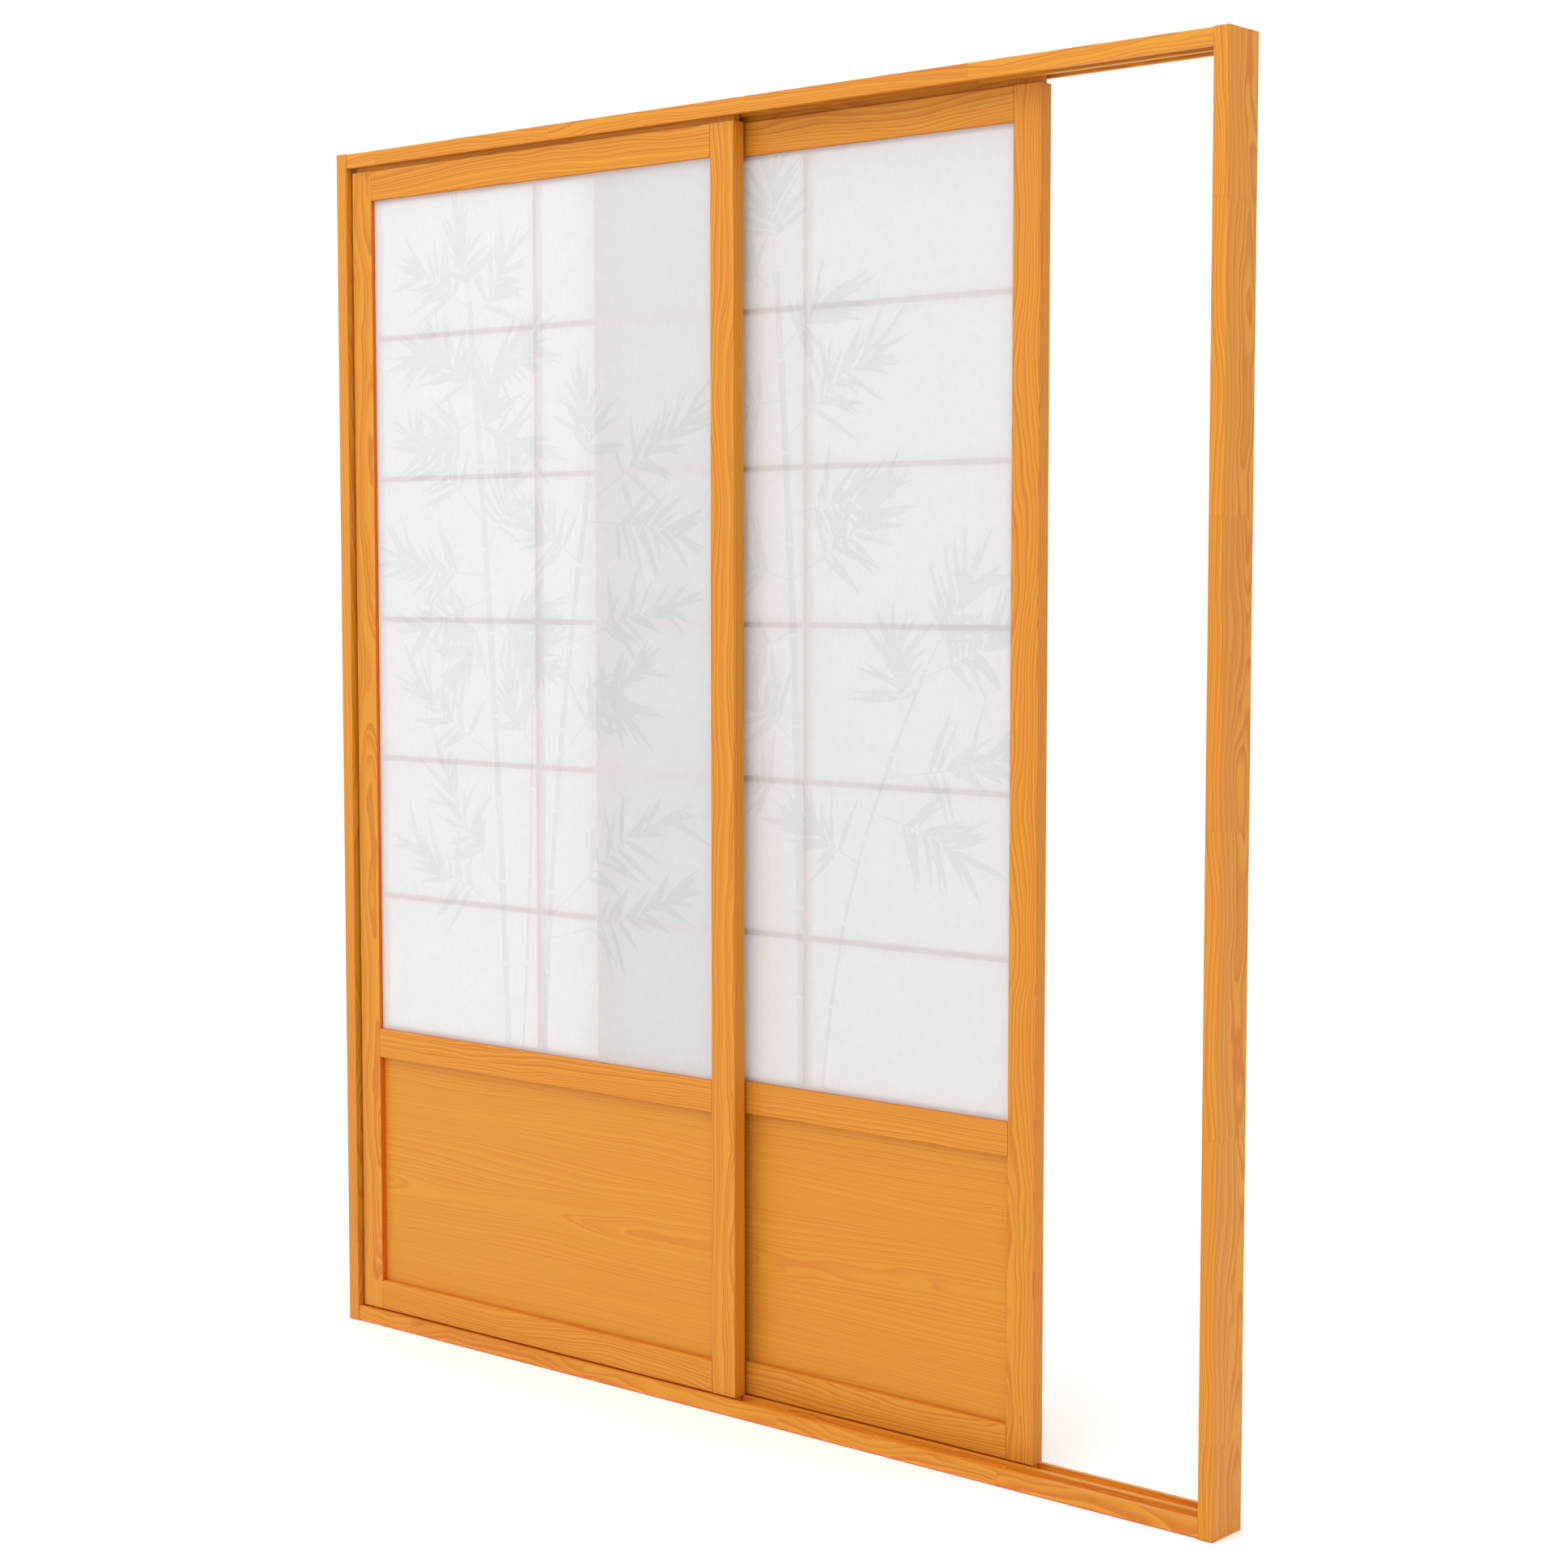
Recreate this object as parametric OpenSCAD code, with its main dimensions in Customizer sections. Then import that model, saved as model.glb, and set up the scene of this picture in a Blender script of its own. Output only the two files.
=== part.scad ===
// Pair of bypass shoji panels in a wooden door frame.
// X runs along the tracks, Y from the paper side through the frame, Z up.
// The origin is on the floor, in the middle of the frame. All sizes are in millimetres.

/* [Door frame] */
// Outer width over both jambs
frame_w = 1829; // [1500:1:2400]
// Height of the jambs
frame_h = 2083; // [1700:1:2600]
// Depth of the jambs through the wall
jamb_d = 76; // [74:1:120]
// Face width of each jamb
jamb_w = 24.5; // [20:0.5:40]
// Face height of the head rail
head_h = 24.5; // [22:0.5:40]
// Face height of the sill
sill_h = 25; // [20:0.5:40]
// How far the jambs stand proud of the head rail and the sill on each face
jamb_proud = 2; // [0:0.5:5]
// Step from the jamb tops down to the top of the head rail
head_drop = 0.5; // [0:0.5:5]
// Step from the jamb feet up to the underside of the sill
sill_lift = 2; // [0:0.5:5]
// Length of the stub tenons at the ends of the head rail and the sill
stub_len = 12; // [6:0.5:16]

/* [Tracks] */
// Distance between the middles of the two tracks
track_pitch = 32; // [32:0.5:36]
// Width of each groove
groove_w = 22.5; // [20:0.5:26]
// Depth of the grooves in the head rail
head_groove_d = 16.5; // [15:0.5:18]
// Depth of the grooves in the sill
sill_groove_d = 9; // [6:0.5:12]

/* [Panels] */
// Width of each panel
panel_w = 898; // [760:1:1100]
// Thickness of the stiles and rails
panel_t = 25; // [22:0.5:28]
// Gap between the sill and the lower shoulders of a panel
foot_gap = 3; // [1:0.5:6]
// Gap between the upper shoulders of a panel and the head rail
top_gap = 8.5; // [4:0.5:10]
// Face width of each stile
stile_w = 49; // [40:1:70]
// Face height of the top rail
top_rail_h = 51; // [40:1:90]
// Face height of the middle rail
middle_rail_h = 51; // [40:1:90]
// Face height of the bottom rail
bottom_rail_h = 51; // [40:1:120]
// Height of the opening that holds the board
board_open_h = 406; // [200:1:700]
// Thickness of the tongues that run in the grooves
tongue_t = 12.5; // [10:0.5:16]
// Height of the tongue above the upper shoulders
top_tongue_h = 15; // [12:0.5:16]
// Distance from a stile's outer edge to the end of the tongue
tongue_inset = 4; // [0:0.5:10]
// Width of the small bevel along every edge of the sections
ease = 0.8; // [0.4:0.1:1.5]

/* [Joints in the panels] */
// Thickness of the tenons on the rails
tenon_t = 8; // [6:0.5:10]
// Length of the tenons on the rails
tenon_len = 34; // [20:1:36]
// Step from a rail's edge to its tenon
tenon_step = 9; // [6:0.5:12]
// Thickness of the board
board_t = 5.5; // [4:0.5:8]
// Depth of the board's face behind the panel's face
board_recess = 10.5; // [6:0.5:11]
// Depth of the grooves that hold the board
board_groove_d = 7; // [5:0.5:9]

/* [Paper and lattice] */
// Depth of the paper's face behind the panel's face
paper_recess = 7.6; // [4:0.2:9]
// Thickness of the paper
paper_t = 0.4; // [0.3:0.1:0.8]
// Face width of the lattice bars
bar_w = 9; // [6:0.5:14]
// Depth of the lattice bars and of the border strips
bar_d = 12; // [8:0.5:12]
// Face width of the border strips
border_w = 6; // [5:0.5:12]
// Length of a bar's end inside a border strip
bar_stub = 3; // [2:0.5:4]

/* [Where the panels stand] */
// Gap between the front panel and the left jamb
front_gap = 6.5; // [1:0.5:300]
// Gap between the rear panel and the right jamb
rear_gap = 313; // [1:1:400]

/* [Clearances] */
// Clearance under the tongue that runs on the sill
run_clear = 0.3; // [0.2:0.1:1]
// Clearance round a tenon, a lap or a bar's end
joint_clear = 0.1; // [0.05:0.05:0.3]
// Clearance at the end of a tenon or at the edge of the board
end_clear = 0.8; // [0.4:0.1:0.9]
// Clearance round the edge of the paper
paper_clear = 0.3; // [0.1:0.1:0.9]

/* [Hidden] */
CROSS_BARS = 5;
cut = 1;
inner_w = frame_w - 2 * jamb_w;
rail_d = jamb_d - 2 * jamb_proud;
head_z = frame_h - head_drop - head_h;
sill_z = sill_lift + sill_h;
shoulder_z = sill_z + foot_gap;
panel_h = head_z - top_gap - shoulder_z;
foot_tongue_h = foot_gap + sill_groove_d - run_clear;
tongue_y = (panel_t - tongue_t) / 2;
open_w = panel_w - 2 * stile_w;
middle_rail_z = bottom_rail_h + board_open_h;
paper_open_z = middle_rail_z + middle_rail_h;
top_rail_z = panel_h - top_rail_h;
paper_open_h = top_rail_z - paper_open_z;
lattice_y = paper_recess + paper_t;
bar_pitch = (paper_open_h + bar_w) / (CROSS_BARS + 1);
upright_x = (panel_w - bar_w) / 2;
inner_x = stile_w + border_w;
lap_y = bar_d / 2;
pine = [0.90, 0.60, 0.27];
panel_pine = [0.92, 0.62, 0.30];
board_pine = [0.88, 0.57, 0.24];
paper_white = [0.94, 0.92, 0.90];

// Rectangle a by b with a small bevel at each corner
module eased(a, b) {
  polygon([
    [ease, 0], [a - ease, 0], [a, ease], [a, b - ease],
    [a - ease, b], [ease, b], [0, b - ease], [0, ease]
  ]);
}

// Piece that stands up: width in X, depth in Y, height in Z
module standing(w, d, h) {
  linear_extrude(height = h) eased(w, d);
}

// Piece that lies along X: length in X, depth in Y, height in Z
module lying(l, d, h) {
  rotate([90, 0, 90]) linear_extrude(height = l) eased(d, h);
}

// Front track or rear track: the panel's lower left corner on its paper side becomes the origin
module on_track(rear) {
  x = rear ? inner_w / 2 - rear_gap - panel_w : front_gap - inner_w / 2;
  y = (rear ? 1 : -1) * track_pitch / 2 - panel_t / 2;
  translate([x, y, shoulder_z]) children();
}

// Turns a left-hand piece of a panel into the right-hand one
module handed(right) {
  if (right) translate([panel_w, 0, 0]) mirror([1, 0, 0]) children();
  else children();
}

// The two grooves of the head rail or the sill, from the face at z = 0 upwards
module grooves(depth) {
  for (side = [-1, 1])
    translate([-inner_w / 2 - cut, side * track_pitch / 2 - groove_w / 2, -cut])
      cube([inner_w + 2 * cut, groove_w, depth + cut]);
}

// Stub tenon of the head rail or the sill, or with clear above 0 the mortise for it
module stub(web, clear) {
  margin = web / 4;
  d = rail_d - 2 * margin;
  translate([-inner_w / 2 - stub_len - (clear > 0 ? end_clear : 0), -d / 2 - clear, margin - clear])
    cube([inner_w + 2 * stub_len + (clear > 0 ? 2 * end_clear : 0), d + 2 * clear, web / 2 + 2 * clear]);
}

module head_stubs(clear) {
  translate([0, 0, head_z + head_groove_d]) stub(head_h - head_groove_d, clear);
}

module sill_stubs(clear) {
  translate([0, 0, sill_lift]) stub(sill_h - sill_groove_d, clear);
}

module jamb(right) {
  color(pine) difference() {
    translate([right ? inner_w / 2 : -frame_w / 2, -jamb_d / 2, 0]) standing(jamb_w, jamb_d, frame_h);
    head_stubs(joint_clear);
    sill_stubs(joint_clear);
  }
}

module head_rail() {
  color(pine) union() {
    difference() {
      translate([-inner_w / 2, -rail_d / 2, head_z]) lying(inner_w, rail_d, head_h);
      translate([0, 0, head_z]) grooves(head_groove_d);
    }
    head_stubs(0);
  }
}

module sill() {
  color(pine) union() {
    difference() {
      translate([-inner_w / 2, -rail_d / 2, sill_lift]) lying(inner_w, rail_d, sill_h);
      translate([0, 0, sill_z]) mirror([0, 0, 1]) grooves(sill_groove_d);
    }
    sill_stubs(0);
  }
}

// Tenon at the left end of a rail, or with clear above 0 the mortise for it
module tenon(z, h, clear) {
  len = tenon_len + (clear > 0 ? end_clear : 0);
  translate([stile_w - len, (panel_t - tenon_t) / 2 - clear, z + tenon_step - clear])
    cube([len + cut, tenon_t + 2 * clear, h - 2 * tenon_step + 2 * clear]);
}

// Slot for the board, round the whole board opening
module board_slot() {
  translate([
    stile_w - board_groove_d,
    board_recess - joint_clear,
    bottom_rail_h - board_groove_d
  ])
    cube([
      open_w + 2 * board_groove_d,
      board_t + 2 * joint_clear,
      board_open_h + 2 * board_groove_d
    ]);
}

module stile(rear, right) {
  color(panel_pine) on_track(rear) handed(right) difference() {
    union() {
      standing(stile_w, panel_t, panel_h);
      translate([tongue_inset, tongue_y, -foot_tongue_h])
        cube([stile_w - tongue_inset, tongue_t, foot_tongue_h + panel_h + top_tongue_h]);
    }
    tenon(0, bottom_rail_h, joint_clear);
    tenon(middle_rail_z, middle_rail_h, joint_clear);
    tenon(top_rail_z, top_rail_h, joint_clear);
    board_slot();
  }
}

// Rail between the stiles with a tenon at each end
module rail(z, h) {
  translate([stile_w, 0, z]) lying(open_w, panel_t, h);
  handed(false) tenon(z, h, 0);
  handed(true) tenon(z, h, 0);
}

module top_rail(rear) {
  color(panel_pine) on_track(rear) {
    rail(top_rail_z, top_rail_h);
    translate([stile_w, tongue_y, panel_h - cut]) cube([open_w, tongue_t, top_tongue_h + cut]);
  }
}

module middle_rail(rear) {
  color(panel_pine) on_track(rear) difference() {
    rail(middle_rail_z, middle_rail_h);
    board_slot();
  }
}

module bottom_rail(rear) {
  color(panel_pine) on_track(rear) difference() {
    union() {
      rail(0, bottom_rail_h);
      translate([stile_w, tongue_y, -foot_tongue_h]) cube([open_w, tongue_t, foot_tongue_h + cut]);
    }
    board_slot();
  }
}

module board(rear) {
  reach = board_groove_d - end_clear;
  color(board_pine) on_track(rear)
    translate([stile_w - reach, board_recess, bottom_rail_h - reach])
      cube([open_w + 2 * reach, board_t, board_open_h + 2 * reach]);
}

module paper(rear) {
  color(paper_white) on_track(rear)
    translate([stile_w + paper_clear, paper_recess, paper_open_z + paper_clear])
      cube([open_w - 2 * paper_clear, paper_t, paper_open_h - 2 * paper_clear]);
}

// One cross bar with its stubs, or with clear above 0 the space for it in the border strips
module cross_blank(i, clear) {
  stub = bar_stub + (clear > 0 ? end_clear : 0);
  translate([inner_x - stub, lattice_y - clear, paper_open_z + i * bar_pitch - bar_w - clear])
    cube([panel_w - 2 * inner_x + 2 * stub, bar_d + 2 * clear, bar_w + 2 * clear]);
}

// The upright bar with its stubs, or with clear above 0 the space for it in the border strips
module upright_blank(clear) {
  stub = bar_stub + (clear > 0 ? end_clear : 0);
  translate([upright_x - clear, lattice_y - clear, paper_open_z + border_w - stub])
    cube([bar_w + 2 * clear, bar_d + 2 * clear, paper_open_h - 2 * border_w + 2 * stub]);
}

// Half of the depth of every crossing, cut from the upright bar or from a cross bar
module laps(y, d) {
  for (i = [1 : CROSS_BARS])
    translate([
      upright_x - joint_clear,
      lattice_y + y,
      paper_open_z + i * bar_pitch - bar_w - joint_clear
    ])
      cube([bar_w + 2 * joint_clear, d, bar_w + 2 * joint_clear]);
}

module side_border(rear, right) {
  color(panel_pine) on_track(rear) handed(right) difference() {
    translate([stile_w, lattice_y, paper_open_z]) cube([border_w, bar_d, paper_open_h]);
    for (i = [1 : CROSS_BARS]) cross_blank(i, joint_clear);
  }
}

module end_border(rear, z) {
  color(panel_pine) on_track(rear) difference() {
    translate([inner_x, lattice_y, z]) cube([panel_w - 2 * inner_x, bar_d, border_w]);
    upright_blank(joint_clear);
  }
}

module upright_bar(rear) {
  color(panel_pine) on_track(rear) difference() {
    upright_blank(0);
    laps(lap_y - joint_clear, lap_y + joint_clear + cut);
  }
}

module cross_bar(rear, i) {
  color(panel_pine) on_track(rear) difference() {
    cross_blank(i, 0);
    laps(-cut, cut + lap_y);
  }
}

jamb(false);  // left_jamb
jamb(true);  // right_jamb
head_rail();
sill();
stile(false, false);  // front_left_stile
stile(false, true);  // front_right_stile
top_rail(false);  // front_top_rail
middle_rail(false);  // front_middle_rail
bottom_rail(false);  // front_bottom_rail
board(false);  // front_board
paper(false);  // front_paper
side_border(false, false);  // front_left_border
side_border(false, true);  // front_right_border
end_border(false, top_rail_z - border_w);  // front_top_border
end_border(false, paper_open_z);  // front_bottom_border
upright_bar(false);  // front_upright_bar
cross_bar(false, 1);  // front_cross_bar_1
cross_bar(false, 2);  // front_cross_bar_2
cross_bar(false, 3);  // front_cross_bar_3
cross_bar(false, 4);  // front_cross_bar_4
cross_bar(false, 5);  // front_cross_bar_5
stile(true, false);  // rear_left_stile
stile(true, true);  // rear_right_stile
top_rail(true);  // rear_top_rail
middle_rail(true);  // rear_middle_rail
bottom_rail(true);  // rear_bottom_rail
board(true);  // rear_board
paper(true);  // rear_paper
side_border(true, false);  // rear_left_border
side_border(true, true);  // rear_right_border
end_border(true, top_rail_z - border_w);  // rear_top_border
end_border(true, paper_open_z);  // rear_bottom_border
upright_bar(true);  // rear_upright_bar
cross_bar(true, 1);  // rear_cross_bar_1
cross_bar(true, 2);  // rear_cross_bar_2
cross_bar(true, 3);  // rear_cross_bar_3
cross_bar(true, 4);  // rear_cross_bar_4
cross_bar(true, 5);  // rear_cross_bar_5
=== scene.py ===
"""Looks of a pair of sliding shoji panels: stained pine, boards, lattice, washi paper and a bamboo print."""

import logging
import math
import random
from dataclasses import dataclass, replace
from enum import Enum

import bpy
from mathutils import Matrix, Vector
from mathutils.geometry import delaunay_2d_cdt


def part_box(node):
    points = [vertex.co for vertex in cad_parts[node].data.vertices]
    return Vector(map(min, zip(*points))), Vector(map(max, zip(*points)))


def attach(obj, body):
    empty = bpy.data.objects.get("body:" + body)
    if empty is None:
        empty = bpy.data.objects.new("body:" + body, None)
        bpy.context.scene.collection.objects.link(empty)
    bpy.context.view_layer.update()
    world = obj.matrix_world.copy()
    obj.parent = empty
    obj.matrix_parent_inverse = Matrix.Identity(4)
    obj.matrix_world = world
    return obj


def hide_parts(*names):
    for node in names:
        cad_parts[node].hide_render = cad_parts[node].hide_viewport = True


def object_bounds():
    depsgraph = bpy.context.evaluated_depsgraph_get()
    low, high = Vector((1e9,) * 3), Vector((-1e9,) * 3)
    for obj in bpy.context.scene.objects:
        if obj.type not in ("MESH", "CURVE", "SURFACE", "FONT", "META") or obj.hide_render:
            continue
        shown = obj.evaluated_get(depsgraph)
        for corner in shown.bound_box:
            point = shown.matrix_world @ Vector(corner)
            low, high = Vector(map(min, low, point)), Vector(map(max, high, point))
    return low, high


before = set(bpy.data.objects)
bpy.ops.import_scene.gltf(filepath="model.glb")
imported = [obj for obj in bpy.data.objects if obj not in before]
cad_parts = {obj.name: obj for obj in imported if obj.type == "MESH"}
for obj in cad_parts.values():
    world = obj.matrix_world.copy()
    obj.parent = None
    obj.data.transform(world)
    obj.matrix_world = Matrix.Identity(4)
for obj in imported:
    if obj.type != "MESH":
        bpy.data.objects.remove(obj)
cad_low, cad_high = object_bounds()

MM = 0.001
BEFORE_ANY_PIECE = 5.0
LOG_LENGTH = 7.0
BOARDS_IN_STOCK = 1000
WANDER_STARTS = 40.0
STREAK_STARTS = 50.0
PAINTED_LIGHT_AO_RAYS = 6
NEARLY_SQUARE = (0.70, 0.90)
SQUARE_TO_GRAIN = (0.80, 0.95)

Colour = tuple[float, float, float]
Socket = bpy.types.NodeSocket
Term = Socket | float | int | str | tuple[float, ...]

log = logging.getLogger("shoji")


class Grain(Enum):
    """Direction in which the wood of a piece grew."""

    ALONG_X = "x"
    ALONG_Z = "z"


class Track(Enum):
    """Track that a panel runs on, and the first word of its CAD names."""

    FRONT = "front"
    REAR = "rear"


class Graph:
    """Short calls for making and joining the nodes of one shader or geometry tree."""

    def __init__(self, tree: bpy.types.NodeTree) -> None:
        """Keeps the tree that the nodes go into.

        Args:
            tree: The shader or geometry tree.
        """
        self.tree = tree

    def node(self, kind: str, **settings: object) -> bpy.types.Node:
        """Adds one node.

        Args:
            kind: The node's type name.
            **settings: Properties of the node, by name.

        Returns:
            The new node.
        """
        made = self.tree.nodes.new(kind)
        for name, value in settings.items():
            setattr(made, name, value)
        return made

    def feed(self, target: Socket, term: Term) -> None:
        """Joins a socket to an input, or sets the input to a constant.

        Args:
            target: The input.
            term: A socket to join, or a value.
        """
        if isinstance(term, bpy.types.NodeSocket):
            self.tree.links.new(term, target)
        else:
            target.default_value = term

    def put(self, kind: str, inputs: dict[str | int, Term], **settings: object) -> bpy.types.Node:
        """Adds one node and feeds its inputs.

        Args:
            kind: The node's type name.
            inputs: A term for each input, by name or number.
            **settings: Properties of the node, by name.

        Returns:
            The new node.
        """
        made = self.node(kind, **settings)
        for name, term in inputs.items():
            self.feed(made.inputs[name], term)
        return made

    def math(self, operation: str, *terms: Term) -> Socket:
        """Adds one Math node.

        Args:
            operation: Its operation.
            *terms: Its terms, in order.

        Returns:
            The result.
        """
        made = self.node("ShaderNodeMath", operation=operation)
        for place, term in zip(made.inputs, terms):
            self.feed(place, term)
        return made.outputs[0]

    def vector(self, x: Term, y: Term, z: Term) -> Socket:
        """Returns a vector of the three terms."""
        return self.put("ShaderNodeCombineXYZ", {"X": x, "Y": y, "Z": z}).outputs[0]

    def split(self, vector: Socket) -> tuple[Socket, Socket, Socket]:
        """Returns the three parts of a vector."""
        made = self.put("ShaderNodeSeparateXYZ", {"Vector": vector})
        return made.outputs[0], made.outputs[1], made.outputs[2]

    def smooth(
        self, value: Term, low: float, high: float, to_low: float = 0.0, to_high: float = 1.0
    ) -> Socket:
        """Maps a value smoothly from one range to another, and holds it at both ends.

        Args:
            value: The value to map.
            low: Where the result is to_low.
            high: Where the result is to_high.
            to_low: Result at low.
            to_high: Result at high.

        Returns:
            The mapped value.
        """
        made = self.put("ShaderNodeMapRange", {"Value": value}, interpolation_type="SMOOTHSTEP")
        for place, number in zip(("From Min", "From Max", "To Min", "To Max"), (low, high, to_low, to_high)):
            made.inputs[place].default_value = number
        return made.outputs[0]

    def noise(self, vector: Socket, detail: float, roughness: float) -> bpy.types.Node:
        """Returns a Noise Texture node of scale 1, on a vector that is already scaled."""
        terms = {"Vector": vector, "Scale": 1.0, "Detail": detail, "Roughness": roughness}
        return self.put("ShaderNodeTexNoise", terms)

    def mix(self, factor: Term, first: Term, second: Term, blend: str = "MIX") -> Socket:
        """Mixes two colours.

        Args:
            factor: Share of the second colour.
            first: First colour.
            second: Second colour.
            blend: Kind of mixing.

        Returns:
            The mixed colour.
        """
        made = self.node("ShaderNodeMix", data_type="RGBA", blend_type=blend)
        for place, term in zip((0, 6, 7), (factor, first, second)):
            self.feed(made.inputs[place], term)
        return made.outputs[2]


def rgba(colour: Colour) -> tuple[float, float, float, float]:
    """Returns a colour with full cover."""
    return (*colour, 1.0)


def blank_material(name: str) -> tuple[bpy.types.Material, Graph, bpy.types.Node]:
    """Makes a material that holds one Principled shader.

    Args:
        name: Name of the material.

    Returns:
        The material, its graph and its shader node.
    """
    material = bpy.data.materials.new(name)
    material.use_nodes = True
    graph = Graph(material.node_tree)
    return material, graph, material.node_tree.nodes["Principled BSDF"]


@dataclass(frozen=True)
class Cut:
    """Distances from a piece's middle along its grain, across it and through the thickness."""

    along: Socket
    across: Socket
    through: Socket

    def scaled(self, graph: Graph, rates: tuple[float, ...], starts: list[float]) -> Socket:
        """Returns the place in a pattern of so many turns a metre each way, from its starts."""
        ways = zip((self.along, self.across, self.through), rates, starts)
        return graph.vector(*(graph.math("MULTIPLY_ADD", *way) for way in ways))


@dataclass(frozen=True)
class StainedPine:
    """Softwood under a honey stain and a satin varnish, drawn as growth rings cut by the faces.

    Strengths and shades are shares of the way from the early wood's colour to the late wood's.
    Rates are in turns a metre. The pith lies about pith_depth before or behind the piece's middle,
    and from pith_aside up to pith_spread more to one side of it. The painted light tint multiplies
    the wood's colour as painted shade near other pieces and on rebate faces, and in the dark joint
    lines; above 1 it paints light instead.
    """

    ring_gap: float
    ring_strength: float
    pith_depth: float
    pith_spread: float
    wander: float
    wander_rate: float
    early: Colour = (0.585, 0.240, 0.0178)
    late: Colour = (0.495, 0.153, 0.0116)
    pith_aside: float = 0.0
    wander_breadth: float = 9.0
    wander_detail: float = 3.0
    wander_roughness: float = 0.42
    pith_depths: tuple[float, float] = (0.80, 1.25)
    good_years: float = 0.6
    uneven_years: float = 1.6
    late_start: float = 0.15
    late_peak: float = 0.80
    late_end: float = 0.82
    faintest_year: float = 0.5
    fibre_strength: float = 0.50
    fibre_rates: tuple[float, float, float] = (6.0, 210.0, 210.0)
    cloud_strength: float = 0.46
    cloud_rates: tuple[float, float, float] = (2.1, 24.0, 24.0)
    streak_detail: float = 3.0
    streak_roughness: float = 0.6
    base_shade: float = 0.12
    base_spread: float = 0.06
    end_shade: float = 0.9
    block_length: float = 0.0
    block_strength: float = 0.35
    finger_slope: float = 2.4
    finger_depth: float = 9 * MM
    seam_width: float = 0.9 * MM
    seam_shade: float = 0.6
    roughness: float = 0.44
    ring_roughness: float = 0.06
    fibre_roughness: float = 0.08
    ring_relief: float = 0.5
    relief_strength: float = 0.35
    relief_depth: float = 0.12 * MM
    varnish: float = 0.06
    shine: float = 0.21
    varnish_roughness: float = 0.22
    # painted shade: multiplies the wood's colour where ambient occlusion finds other pieces near, on rebate
    # faces, and in the dark joint lines
    painted_light_and_joint_tint: Colour = (1.00, 0.50, 0.34)
    painted_light_reach: float = 8 * MM
    painted_light_full_at_ao: float = 0.25
    painted_light_none_at_ao: float = 0.80
    joint_width: float = 1.1 * MM
    joint_depth: float = 0.9
    # painted shade on the side faces of a stile's rebate, beside the paper
    rebate_painted_shade: float = 0.95

    def material(
        self, name: str, grain: Grain, middle: Vector, joints: tuple[float, ...], inward: float, seed: int
    ) -> bpy.types.Material:
        """Makes the finish for one piece, with its own cut through the log.

        Args:
            name: Name of the material.
            grain: Direction in which the piece's wood grew.
            middle: Middle of the piece.
            joints: Places along the grain where the piece meets its neighbours, from its middle.
            inward: Way along X in which its rebate faces, or 0 if it has none.
            seed: Whole number that no other piece uses.

        Returns:
            The material.
        """
        material, graph, shader = blank_material(name)
        dice = random.Random(seed)
        piece = self._axes(graph, grain, middle)
        cut = piece
        tone: Term = 0.5
        seam: Term = 0.0
        if self.block_length:
            cut, tone, seam = self._blocks(graph, piece, dice)
        rings = self._rings(graph, cut, dice)
        fibre = self._streaks(graph, cut, self.fibre_rates, dice)
        cloud = self._streaks(graph, cut, self.cloud_rates, dice)
        end = self._end_grain(graph, grain)
        shade = graph.math("MULTIPLY", rings, self.ring_strength)
        patterns = (fibre, cloud, tone)
        strengths = (self.fibre_strength, self.cloud_strength, self.block_strength)
        for pattern, strength in zip(patterns, strengths):
            shade = graph.math("MULTIPLY_ADD", graph.math("SUBTRACT", pattern, 0.5), strength, shade)
        own_shade = self.base_shade + dice.uniform(-self.base_spread, self.base_spread)
        shade = graph.math("ADD", shade, own_shade)
        shade = graph.math("MULTIPLY_ADD", seam, self.seam_shade, shade)
        shade = graph.math("MULTIPLY_ADD", end, self.end_shade, shade)
        colour = graph.mix(shade, rgba(self.early), rgba(self.late))
        # painted shade from ambient occlusion and on rebate faces, with the dark joint lines, multiplies the
        # colour
        painted_light_and_joints = self._painted_light_and_joints(graph, piece.along, joints, inward)
        colour = graph.mix(painted_light_and_joints, colour, rgba(self.painted_light_and_joint_tint), "MULTIPLY")
        graph.feed(shader.inputs["Base Color"], colour)
        rough = graph.math("MULTIPLY_ADD", rings, self.ring_roughness, self.roughness)
        rough = graph.math("MULTIPLY_ADD", fibre, self.fibre_roughness, rough)
        graph.feed(shader.inputs["Roughness"], rough)
        relief = graph.math("MULTIPLY_ADD", rings, self.ring_relief, fibre)
        bump = graph.put(
            "ShaderNodeBump",
            {"Height": relief, "Strength": self.relief_strength, "Distance": self.relief_depth},
        )
        graph.feed(shader.inputs["Normal"], bump.outputs[0])
        shader.inputs["Specular IOR Level"].default_value = self.shine
        shader.inputs["Coat Weight"].default_value = self.varnish
        shader.inputs["Coat Roughness"].default_value = self.varnish_roughness
        return material

    def _axes(self, graph: Graph, grain: Grain, middle: Vector) -> Cut:
        """Turns the place on a piece into its distances along, across and through the grain.

        Args:
            graph: The material's graph.
            grain: Direction in which the piece's wood grew.
            middle: Middle of the piece.

        Returns:
            The three distances.
        """
        place = graph.node("ShaderNodeTexCoord").outputs["Object"]
        centred = graph.put("ShaderNodeVectorMath", {0: place, 1: middle}, operation="SUBTRACT")
        x, y, z = graph.split(centred.outputs[0])
        return Cut(x, z, y) if grain is Grain.ALONG_X else Cut(z, x, y)

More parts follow.
